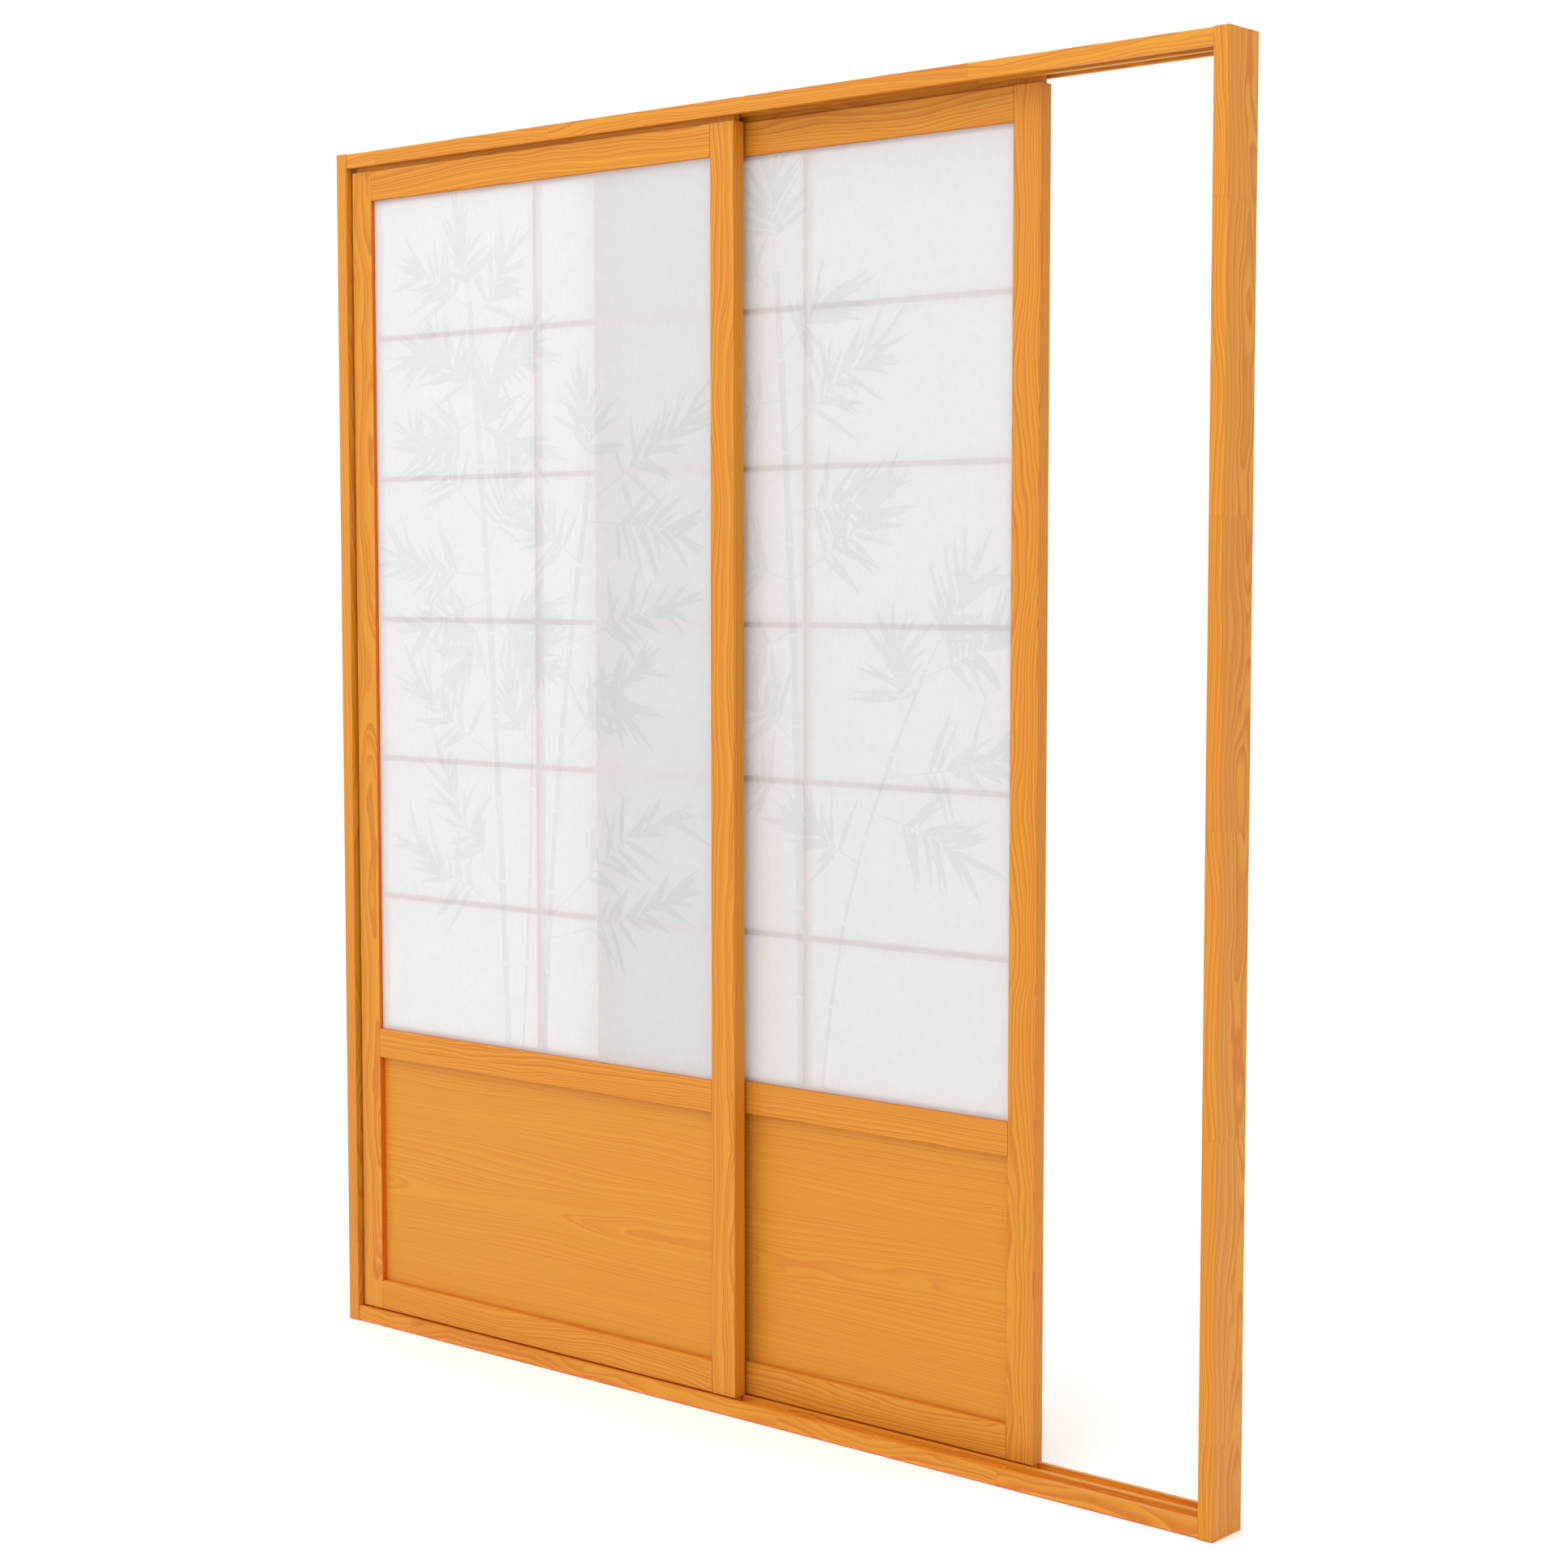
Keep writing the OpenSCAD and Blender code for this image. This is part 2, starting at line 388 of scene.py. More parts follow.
    def _blocks(self, graph: Graph, piece: Cut, dice: random.Random) -> tuple[Cut, Socket, Socket]:
        """Makes the piece of finger-jointed blocks, each from another board.

        Args:
            graph: The material's graph.
            piece: Place on the piece.
            dice: Source of the piece's random numbers.

        Returns:
            The place in each block's own board, the block's tone and the seam lines.
        """
        slope = graph.math("MULTIPLY", piece.through, self.finger_slope)
        zigzag = graph.math("PINGPONG", slope, self.finger_depth)
        start = BEFORE_ANY_PIECE + dice.random() * self.block_length
        run = graph.math("ADD", graph.math("ADD", piece.along, zigzag), start)
        count = graph.math("DIVIDE", run, self.block_length)
        number = graph.math("ADD", graph.math("FLOOR", count), float(dice.randrange(BOARDS_IN_STOCK)))
        tone = graph.node("ShaderNodeTexWhiteNoise", noise_dimensions="1D")
        graph.feed(tone.inputs["W"], number)
        moved = graph.math("MULTIPLY_ADD", tone.outputs["Value"], LOG_LENGTH, piece.along)
        edge = graph.math("PINGPONG", count, 0.5)
        seam = graph.smooth(edge, 0.0, self.seam_width / self.block_length, 1.0, 0.0)
        return replace(piece, along=moved), tone.outputs["Value"], seam

    def _rings(self, graph: Graph, cut: Cut, dice: random.Random) -> Socket:
        """Draws the growth rings round a pith that wanders along the piece.

        Args:
            graph: The material's graph.
            cut: Place in the board.
            dice: Source of the piece's random numbers.

        Returns:
            0 in the light wood of spring and 1 in the dark line at the end of summer.
        """
        rates = (self.wander_rate, self.wander_breadth, self.wander_breadth)
        starts = [dice.uniform(0.0, WANDER_STARTS) for _ in rates]
        slow = cut.scaled(graph, rates, starts)
        wandering = graph.noise(slow, self.wander_detail, self.wander_roughness)
        drift_x, drift_y, _ = graph.split(wandering.outputs["Color"])
        aside = dice.uniform(-self.pith_spread, self.pith_spread)
        pith_x = aside + math.copysign(self.pith_aside, aside) + 0.5 * self.wander
        side = dice.choice((-1.0, 1.0))
        pith_y = self.pith_depth * side * dice.uniform(*self.pith_depths) + 0.5 * self.wander
        x = graph.math("SUBTRACT", graph.math("MULTIPLY_ADD", drift_x, self.wander, cut.across), pith_x)
        y = graph.math("SUBTRACT", graph.math("MULTIPLY_ADD", drift_y, self.wander, cut.through), pith_y)
        squares = graph.math("ADD", graph.math("MULTIPLY", x, x), graph.math("MULTIPLY", y, y))
        years = graph.math("DIVIDE", graph.math("SQRT", squares), self.ring_gap)
        weather = graph.node("ShaderNodeTexNoise", noise_dimensions="1D")
        graph.feed(weather.inputs["W"], graph.math("MULTIPLY", years, self.good_years))
        weather.inputs["Scale"].default_value = 1.0
        years = graph.math("MULTIPLY_ADD", weather.outputs[0], self.uneven_years, years)
        year = graph.math("FRACT", years)
        rise = graph.smooth(year, self.late_start, self.late_peak)
        fall = graph.smooth(year, self.late_end, 1.0, 1.0, 0.0)
        line = graph.math("MULTIPLY", rise, fall)
        return graph.math("MULTIPLY", line, graph.math("ADD", weather.outputs[0], self.faintest_year))

    def _streaks(self, graph: Graph, cut: Cut, rates: tuple[float, ...], dice: random.Random) -> Socket:
        """Returns streaks round 0.5 that are long along the grain, so many a metre each way."""
        place = cut.scaled(graph, rates, [dice.uniform(0.0, STREAK_STARTS) for _ in rates])
        return graph.noise(place, self.streak_detail, self.streak_roughness).outputs[0]

    def _painted_light_and_joints(self, graph: Graph, along: Socket, joints: tuple[float, ...], inward: float) -> Socket:
        """Finds where shade is painted, in inner corners, grooves and rebates, and where dark joints run.

        Args:
            graph: The material's graph.
            along: Distance along the grain.
            joints: Places along the grain where the piece meets its neighbours.
            inward: Way along X in which its rebate faces, or 0 if it has none.

        Returns:
            0 on open faces and 1 in the deepest corners and in the joints.
        """
        # painted shade: ambient occlusion darkens the wood in inner corners and grooves
        corner = graph.node("ShaderNodeAmbientOcclusion", samples=PAINTED_LIGHT_AO_RAYS)
        corner.inputs["Distance"].default_value = self.painted_light_reach
        depth = graph.smooth(corner.outputs["AO"], self.painted_light_full_at_ao, self.painted_light_none_at_ao, 1.0, 0.0)
        for joint in joints:
            off = graph.math("ABSOLUTE", graph.math("SUBTRACT", along, joint))
            line = graph.smooth(off, 0.0, self.joint_width, self.joint_depth, 0.0)
            depth = graph.math("MAXIMUM", depth, line)
        # painted shade on the rebate's side faces, picked by which way they face
        if inward:
            facing = graph.split(graph.node("ShaderNodeNewGeometry").outputs["Normal"])[0]
            facing = graph.math("MULTIPLY", facing, inward)
            rebate = graph.smooth(facing, *NEARLY_SQUARE, 0.0, self.rebate_painted_shade)
            depth = graph.math("MAXIMUM", depth, rebate)
        return depth

    def _end_grain(self, graph: Graph, grain: Grain) -> Socket:
        """Returns 1 on faces cut across the grain, which drink more stain, and 0 elsewhere."""
        facing = dict(zip("xyz", graph.split(graph.node("ShaderNodeNewGeometry").outputs["Normal"])))
        return graph.smooth(graph.math("ABSOLUTE", facing[grain.value]), *SQUARE_TO_GRAIN)


@dataclass(frozen=True)
class FibreLayer:
    """One layer of fibres: how many in a metre along X, Y and Z, its finer layers and its weight."""

    rates: tuple[float, float, float]
    detail: float
    weight: float


@dataclass(frozen=True)
class WashiPaper:
    """Long-fibred white paper that glows with the light behind it and takes a pale grey ink.

    The share `through` of the light that the fibres catch passes to the other side, and the share
    `clear` of all the light goes straight through the gaps in them.
    """

    sheet: Colour = (0.690, 0.680, 0.678)
    glow: Colour = (0.815, 0.802, 0.798)
    ink: Colour = (0.915, 0.933, 0.932)
    through: float = 0.15
    clear: float = 0.27
    flock: FibreLayer = FibreLayer((85.0, 10.0, 60.0), 3.0, 0.55)
    pulp: FibreLayer = FibreLayer((260.0, 10.0, 55.0), 2.0, 0.35)
    crossed: FibreLayer = FibreLayer((60.0, 10.0, 240.0), 2.0, 0.25)
    fibre_roughness: float = 0.6
    seed_shift: tuple[float, float, float] = (3.7, 1.9, 2.3)
    thick: float = 0.38
    thin: float = 0.76
    thin_sheet: float = 0.965
    thin_glow: float = 0.95
    dry: tuple[float, float] = (0.25, 0.75)
    soaked: tuple[float, float] = (0.62, 1.10)
    roughness: float = 0.85
    shine: float = 0.15
    relief_strength: float = 0.25
    relief_depth: float = 0.25 * MM

    def material(self, name: str, seed: int) -> bpy.types.Material:
        """Makes the finish of one sheet.

        Args:
            name: Name of the material.
            seed: Whole number that moves the fibres.

        Returns:
            The material.
        """
        material, graph, shader = blank_material(name)
        place = graph.node("ShaderNodeTexCoord").outputs["Object"]
        flock, pulp, crossed = (
            self._fibres(graph, place, layer, seed) for layer in (self.flock, self.pulp, self.crossed)
        )
        body = graph.math("MULTIPLY", pulp, self.pulp.weight)
        body = graph.math("MULTIPLY_ADD", crossed, self.crossed.weight, body)
        body = graph.math("MULTIPLY_ADD", flock, self.flock.weight, body)
        veil = graph.smooth(body, self.thick, self.thin)
        soak = graph.smooth(crossed, self.dry[0], self.soaked[0], self.dry[1], self.soaked[1])
        printed = graph.node("ShaderNodeAttribute", attribute_name="ink").outputs["Fac"]
        inked = graph.math("MULTIPLY", printed, soak)
        relief = {"Height": body, "Strength": self.relief_strength, "Distance": self.relief_depth}
        bump = graph.put("ShaderNodeBump", relief).outputs[0]
        front = self._printed(graph, self.sheet, self.thin_sheet, veil, inked)
        graph.feed(shader.inputs["Base Color"], front)
        graph.feed(shader.inputs["Normal"], bump)
        shader.inputs["Roughness"].default_value = self.roughness
        shader.inputs["Specular IOR Level"].default_value = self.shine
        behind = self._printed(graph, self.glow, self.thin_glow, veil, inked)
        glow = graph.put("ShaderNodeBsdfTranslucent", {"Color": behind, "Normal": bump}).outputs[0]
        pulpy = graph.put("ShaderNodeMixShader", {0: self.through, 1: shader.outputs[0], 2: glow})
        gaps = graph.node("ShaderNodeBsdfTransparent").outputs[0]
        woven = graph.put("ShaderNodeMixShader", {0: self.clear, 1: pulpy.outputs[0], 2: gaps})
        graph.feed(material.node_tree.nodes["Material Output"].inputs["Surface"], woven.outputs[0])
        return material

    def _printed(self, graph: Graph, clean: Colour, thin: float, veil: Socket, inked: Socket) -> Socket:
        """Mottles a clean colour with the fibres and lays the ink over it.

        Args:
            graph: The material's graph.
            clean: Colour of the paper where its fibres are thick.
            thin: Share of that colour where they are thin.
            veil: How thin the fibres are.
            inked: How much ink there is.

        Returns:
            The colour.
        """
        sparse = tuple(thin * channel for channel in clean)
        mottled = graph.mix(veil, rgba(clean), rgba(sparse))
        return graph.mix(inked, mottled, rgba(self.ink), "MULTIPLY")

    def _fibres(self, graph: Graph, place: Socket, layer: FibreLayer, seed: int) -> Socket:
        """Draws one layer of fibres.

        Args:
            graph: The material's graph.
            place: Position on the sheet.
            layer: The layer.
            seed: Whole number that moves the fibres.

        Returns:
            A value round 0.5.
        """
        shift = tuple(seed * step for step in self.seed_shift)
        terms = {0: place, 1: layer.rates, 2: shift}
        scaled = graph.put("ShaderNodeVectorMath", terms, operation="MULTIPLY_ADD")
        return graph.noise(scaled.outputs[0], layer.detail, self.fibre_roughness).outputs[0]


# painted shade: the rear paper is a darker copy of the front paper's colours, and lets less light straight
# through
REAR_WASHI_PAINTED_SHADE = WashiPaper(sheet=(0.660, 0.646, 0.643), glow=(0.779, 0.762, 0.757), clear=0.235)
FRAME_PINE = StainedPine(
    ring_gap=3.1 * MM, ring_strength=0.95, pith_depth=0.060, pith_spread=0.060, wander=0.042,
    wander_rate=2.6, block_length=0.43,
)
JAMB_PINE = replace(FRAME_PINE, pith_depth=0.022, pith_spread=0.015, pith_aside=0.052, wander=0.052)
# painted shade: deeper and redder under the head rail and in its grooves
HEAD_PINE = replace(FRAME_PINE, painted_light_and_joint_tint=(1.00, 0.55, 0.45), painted_light_reach=14 * MM)
# painted light: the tint above 1 lightens and reddens the sill's grooves where occlusion would shade them
SILL_PINE = replace(FRAME_PINE, painted_light_and_joint_tint=(1.68, 1.20, 0.95), painted_light_reach=14 * MM)
PANEL_PINE = StainedPine(
    ring_gap=3.3 * MM, ring_strength=1.0, pith_depth=0.066, pith_spread=0.056, wander=0.042,
    wander_rate=3.0,
)
RAIL_PINE = replace(
    PANEL_PINE, ring_gap=2.7 * MM, pith_depth=0.062, pith_spread=0.026, pith_aside=0.036,
    wander=0.046, wander_rate=1.9,
)
BOARD_PINE = StainedPine(
    ring_gap=3.3 * MM, ring_strength=0.54, pith_depth=0.040, pith_spread=0.050, wander=0.060,
    wander_rate=1.3, fibre_strength=0.42, cloud_strength=0.36,
)
# painted light: the bars are lighter and pinker within 1.2 mm of another piece, where the paper lies on them
LATTICE_PINE = StainedPine(
    ring_gap=2.6 * MM, ring_strength=0.60, pith_depth=0.030, pith_spread=0.020, wander=0.016,
    wander_rate=2.0, painted_light_and_joint_tint=(1.62, 0.62, 1.60), painted_light_reach=1.2 * MM,
)


def dress_node(
    name: str,
    finish: StainedPine,
    grain: Grain,
    seed: int,
    joints: tuple[float, ...] = (),
    inward: float = 0.0,
) -> None:
    """Gives one CAD node its own wood.

    Args:
        name: Name of the node.
        finish: Kind of wood.
        grain: Direction in which the wood grew.
        seed: Whole number that no other node uses.
        joints: Places along the grain where the node meets its neighbours.
        inward: Way along X in which its rebate faces, or 0 if it has none.
    """
    low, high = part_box(name)
    middle = (low + high) / 2
    centre = middle.x if grain is Grain.ALONG_X else middle.z
    from_middle = tuple(joint - centre for joint in joints)
    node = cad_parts[name]
    node.data.materials.clear()
    node.data.materials.append(finish.material(f"{name}_wood", grain, middle, from_middle, inward, seed))
    for polygon in node.data.polygons:
        polygon.material_index = 0
    log.info("dressed %s with grain along %s", name, grain.value)


@dataclass
class DoorFrame:
    """The two jambs, the head rail and the sill."""

    first_seed: int = 11

    def dress(self) -> None:
        """Gives each member of the frame its own wood."""
        members = {
            "left_jamb": (JAMB_PINE, Grain.ALONG_Z),
            "right_jamb": (JAMB_PINE, Grain.ALONG_Z),
            "head_rail": (HEAD_PINE, Grain.ALONG_X),
            "sill": (SILL_PINE, Grain.ALONG_X),
        }
        for number, (name, (finish, grain)) in enumerate(members.items()):
            dress_node(name, finish, grain, self.first_seed + number)


@dataclass(frozen=True)
class Spray:
    """One leafy twig: how far up its stalk it starts, its heading in degrees from +X, and its length."""

    up: float
    heading: float
    reach: float


def sprays(*rows: tuple[float, float, float]) -> tuple[Spray, ...]:
    """Returns the twigs that the rows describe."""
    return tuple(Spray(*row) for row in rows)


@dataclass(frozen=True)
class Stalk:
    """One printed bamboo stalk, with its places as shares of the paper's width and height."""

    foot: float
    head: float
    top: float
    width: float
    bow: float
    sprays: tuple[Spray, ...]
    start: float = 0.004


class Mark:
    """Flat brush mark that starts at the origin, runs one unit along X and is about one unit wide."""

    def grow(self, graph: Graph) -> Socket:
        """Adds the nodes that make the mark.

        Args:
            graph: The tree's graph.

        Returns:
            The mark's mesh.
        """
        raise NotImplementedError

    def laid(self, graph: Graph, mesh: Socket, share: Socket, rise: Socket) -> Socket:
        """Returns a mesh laid in the plane of the paper, by share of its length and rise beside it."""
        terms = {"Geometry": mesh, "Position": graph.vector(share, 0.0, rise)}
        return graph.put("GeometryNodeSetPosition", terms).outputs["Geometry"]


@dataclass(frozen=True)
class Leaf(Mark):
    """Narrow leaf, as one face that is widest near its root and ends in a long point."""

    corners: int = 14
    breadth: float = 0.66
    root_taper: float = 0.05
    point_taper: float = 0.55
    droop: float = -0.55

    def grow(self, graph: Graph) -> Socket:
        """Adds the nodes that make the leaf.

        Args:
            graph: The tree's graph.

        Returns:
            The leaf's mesh.
        """
        corners = {"Vertices": self.corners, "Radius": 1.0}
        disc = graph.put("GeometryNodeMeshCircle", corners, fill_type="NGON")
        x, y, _ = graph.split(graph.node("GeometryNodeInputPosition").outputs[0])
        share = graph.math("MULTIPLY_ADD", x, 0.5, 0.5)
        root = graph.math("POWER", share, self.root_taper)
        left = graph.math("MAXIMUM", graph.math("SUBTRACT", 1.0, share), 0.0)
        point = graph.math("POWER", left, self.point_taper)
        half = graph.math("MULTIPLY", graph.math("MULTIPLY", root, point), self.breadth)
        bend = graph.math("MULTIPLY", graph.math("MULTIPLY", share, share), self.droop)
        return self.laid(graph, disc.outputs["Mesh"], share, graph.math("MULTIPLY_ADD", y, half, bend))


@dataclass(frozen=True)
class Cane(Mark):
    """Length of stalk between two joints, a little wider at both ends and open at the joint."""

    steps: int = 5
    cover: float = 0.965
    waist: float = 0.86
    flare: float = 0.30
    flare_taper: float = 5.0

    def grow(self, graph: Graph) -> Socket:
        """Adds the nodes that make the cane.

        Args:
            graph: The tree's graph.

        Returns:
            The cane's mesh.
        """
        size = {"Size X": 2.0, "Size Y": 1.0, "Vertices X": self.steps, "Vertices Y": 2}
        grid = graph.put("GeometryNodeMeshGrid", size)
        x, y, _ = graph.split(graph.node("GeometryNodeInputPosition").outputs[0])
        share = graph.math("MULTIPLY_ADD", x, 0.5 * self.cover, 0.5 * self.cover)
        joint = graph.math("POWER", graph.math("ABSOLUTE", x), self.flare_taper)
        width = graph.math("MULTIPLY_ADD", joint, self.flare, self.waist)
        return self.laid(graph, grid.outputs["Mesh"], share, graph.math("MULTIPLY", y, width))


@dataclass
class BambooPrint:
    """A grove of stalks with leafy twigs, printed on one sheet of paper."""

    stalks: tuple[Stalk, ...]
    seed: int
    internode: float = 0.135
    twig_width: float = 2.4 * MM
    twig_bend: float = 16.0
    leafy_share: float = 0.66
    leaves: int = 22
    leaf_length: float = 0.088
    leaf_width: float = 0.0118
    lengths: tuple[float, float] = (0.55, 1.20)
    widths: tuple[float, float] = (0.75, 1.15)
    fan: float = 1.15
    closing: float = 0.80
    sway: float = 0.48

    def marks(self, name: str, low: Vector, high: Vector, washi: bpy.types.Material) -> bpy.types.Mesh:
        """Grows the grove as flat marks in the plane of a sheet.

        Args:
            name: Name of the print.
            low: Lowest corner of the paper.
            high: Highest corner of the paper.
            washi: The paper that takes the marks.

        Returns:
            The marks as one plain mesh.
        """
        guide = self._guide(name, low, high)
        modifier = guide.modifiers.new("grove", "NODES")
        self._plant(modifier, washi)
        grown = guide.evaluated_get(bpy.context.evaluated_depsgraph_get())
        mesh = bpy.data.meshes.new_from_object(grown)
        guide.modifiers.clear()
        bpy.data.objects.remove(guide)
        return mesh

    def _guide(self, name: str, low: Vector, high: Vector) -> bpy.types.Object:
        """Draws the middle line of each stalk and of each twig.

        Args:
            name: Name of the print.
            low: Lowest corner of the paper.
            high: Highest corner of the paper.

        Returns:
            An object of loose edges, with the width of each line and 0 where leaves grow.
        """
        dice = random.Random(self.seed)
        size = high - low
        points: list[Vector] = []
        edges: list[tuple[int, int]] = []
        widths: list[float] = []

        def line(path: list[Vector], width: float) -> None:
            """Adds one line of edges.

            Args:
                path: Its points.
                width: Its width.
            """
            start = len(points)
            points.extend(path)
            edges.extend((start + i, start + i + 1) for i in range(len(path) - 1))
            widths.extend(width for _ in range(len(path) - 1))

        for stalk in self.stalks:
            length = size.z * (stalk.top - stalk.start)
            steps = max(2, round(length / self.internode))

            def on_stalk(share: float, stalk: Stalk = stalk) -> Vector:
                """Returns the place at a share of the stalk's length."""
                bow = stalk.bow * math.sin(math.pi * share)
                return Vector((
                    low.x + size.x * (stalk.foot + (stalk.head - stalk.foot) * share + bow),
                    low.y,
                    low.z + size.z * (stalk.start + (stalk.top - stalk.start) * share),
                ))

            line([on_stalk(i / steps) for i in range(steps + 1)], stalk.width)
            for spray in stalk.sprays:
                root = on_stalk(spray.up)
                bend = math.radians(dice.uniform(-self.twig_bend, self.twig_bend))
                first = math.radians(spray.heading)
                way = Vector((math.cos(first), 0.0, math.sin(first)))
                turn = Vector((math.cos(first + bend), 0.0, math.sin(first + bend)))
                bare = root + spray.reach * (1.0 - self.leafy_share) * way
                half = spray.reach * self.leafy_share * 0.5
                middle = bare + half * way
                tip = middle + half * turn
                line([root, bare, middle], self.twig_width)
                line([bare, middle, tip], 0.0)
        mesh = bpy.data.meshes.new(f"{name}_guide")
        mesh.from_pydata(points, edges, [])
        mesh.attributes.new("width", "FLOAT", "EDGE").data.foreach_set("value", widths)
        guide = bpy.data.objects.new(f"{name}_guide", mesh)
        bpy.context.scene.collection.objects.link(guide)
        return guide

    def _plant(self, modifier: bpy.types.Modifier, washi: bpy.types.Material) -> None:
        """Builds the tree that grows canes and leaves on the guide, and sets its inputs.

        Args:
            modifier: The modifier that takes the tree.
            washi: The paper that takes the marks.
        """
        tree = bpy.data.node_groups.new("bamboo_grove", "GeometryNodeTree")
        modifier.node_group = tree
        tree.interface.new_socket("Geometry", in_out="INPUT", socket_type="NodeSocketGeometry")
        tree.interface.new_socket("Geometry", in_out="OUTPUT", socket_type="NodeSocketGeometry")
        sizes = {
            "Leaves on a twig": ("NodeSocketInt", self.leaves),
            "Leaf length": ("NodeSocketFloat", self.leaf_length),
            "Leaf width": ("NodeSocketFloat", self.leaf_width),
            "Fan of leaves": ("NodeSocketFloat", self.fan),
            "Seed": ("NodeSocketInt", self.seed),
            "Washi": ("NodeSocketMaterial", washi),
        }
        for name, (kind, value) in sizes.items():
            socket = tree.interface.new_socket(name, in_out="INPUT", socket_type=kind)
            modifier[socket.identifier] = value
        graph = Graph(tree)
        given = graph.node("NodeGroupInput").outputs
        width = self._kept(graph, "width", "FLOAT")
        wide = graph.put(
            "FunctionNodeCompare", {"A": width, "B": 0.0}, data_type="FLOAT", operation="GREATER_THAN"
        )
        parts = {"Geometry": given["Geometry"], "Selection": wide.outputs[0]}
        parted = graph.put("GeometryNodeSeparateGeometry", parts, domain="EDGE")
        joined = graph.node("GeometryNodeJoinGeometry")
        graph.feed(joined.inputs[0], self._foliage(graph, parted.outputs["Inverted"], given))
        graph.feed(joined.inputs[0], self._canes(graph, parted.outputs["Selection"]))
        real = graph.put("GeometryNodeRealizeInstances", {0: joined.outputs[0]}).outputs[0]
        dyed = graph.put("GeometryNodeSetMaterial", {"Geometry": real, "Material": given["Washi"]})
        graph.put("NodeGroupOutput", {0: dyed.outputs[0]})

    def _kept(self, graph: Graph, name: str, kind: str) -> Socket:
        """Returns the value that an attribute holds."""
        kept = graph.put("GeometryNodeInputNamedAttribute", {"Name": name}, data_type=kind)
        return kept.outputs["Attribute"]

    def _turned(self, graph: Graph, run: Socket, extra: Term) -> Socket:
        """Turns marks about Y so that they lie along a direction.

        Args:
            graph: The tree's graph.
            run: The direction.
            extra: Angle past it.

        Returns:
            The turn.
        """
        x, _, z = graph.split(run)
        angle = graph.math("ADD", graph.math("ARCTAN2", z, x), extra)
        return graph.vector(0.0, graph.math("MULTIPLY", angle, -1.0), 0.0)

    def _chance(self, graph: Graph, low: float, high: float, seed: Socket, step: int) -> Socket:
        """Returns a random number for each point; each kind of choice has a step of its own."""
        terms = {2: low, 3: high, "Seed": graph.math("ADD", seed, float(step))}
        return graph.put("FunctionNodeRandomValue", terms, data_type="FLOAT").outputs[1]

    def _canes(self, graph: Graph, lines: Socket) -> Socket:
        """Lays one mark along each edge of the stalks and bare twigs.

        Args:
            graph: The tree's graph.
            lines: Middle lines of the stalks and bare twigs.

        Returns:
            The marks as instances.
        """
        ends = graph.node("GeometryNodeInputMeshEdgeVertices").outputs
        first, last = ends["Position 1"], ends["Position 2"]
        run = graph.put("ShaderNodeVectorMath", {0: last, 1: first}, operation="SUBTRACT").outputs[0]
        stored = graph.put(
            "GeometryNodeStoreNamedAttribute",
            {"Geometry": lines, "Name": "run", "Value": run},
            data_type="FLOAT_VECTOR",
            domain="EDGE",
        )
        starts = {"Mesh": stored.outputs["Geometry"], "Position": first}
        dots = graph.put("GeometryNodeMeshToPoints", starts, mode="EDGES")
        kept = self._kept(graph, "run", "FLOAT_VECTOR")
        length = graph.put("ShaderNodeVectorMath", {0: kept}, operation="LENGTH").outputs["Value"]
        scale = graph.vector(length, 1.0, self._kept(graph, "width", "FLOAT"))
        turn = self._turned(graph, kept, 0.0)
        return self._placed(graph, dots.outputs[0], Cane(), turn, scale)

    def _placed(self, graph: Graph, points: Socket, mark: Mark, turn: Socket, scale: Socket) -> Socket:
        """Returns one mark laid at each point, as instances."""
        terms = {"Points": points, "Instance": mark.grow(graph), "Rotation": turn, "Scale": scale}
        return graph.put("GeometryNodeInstanceOnPoints", terms).outputs[0]

    def _foliage(self, graph: Graph, lines: Socket, given: bpy.types.NodeOutputs) -> Socket:
        """Fans leaves out along each leafy twig, on alternate sides.

        Args:
            graph: The tree's graph.
            lines: Middle lines of the leafy twigs.
            given: Inputs of the tree.

        Returns:
            The leaves as instances.
        """
        seed = given["Seed"]
        curve = graph.put("GeometryNodeMeshToCurve", {"Mesh": lines}).outputs[0]
        count = {"Curve": curve, "Count": given["Leaves on a twig"]}
        dotted = graph.put("GeometryNodeResampleCurve", count, mode="COUNT").outputs[0]
        along = graph.node("GeometryNodeSplineParameter").outputs
        side = graph.math("MULTIPLY_ADD", graph.math("MODULO", along["Index"], 2.0), 2.0, -1.0)
        opening = graph.math("MULTIPLY_ADD", along["Factor"], -self.closing, 1.0)
        lean = graph.math("MULTIPLY", graph.math("MULTIPLY", side, given["Fan of leaves"]), opening)
        lean = graph.math("ADD", lean, self._chance(graph, -self.sway, self.sway, seed, 1))
        size = graph.math("MULTIPLY", given["Leaf length"], self._chance(graph, *self.lengths, seed, 2))
        width = graph.math("MULTIPLY", given["Leaf width"], self._chance(graph, *self.widths, seed, 3))
        tangent = graph.node("GeometryNodeInputTangent").outputs[0]
        turn = self._turned(graph, tangent, lean)
        return self._placed(graph, dotted, Leaf(), turn, graph.vector(size, 1.0, width))


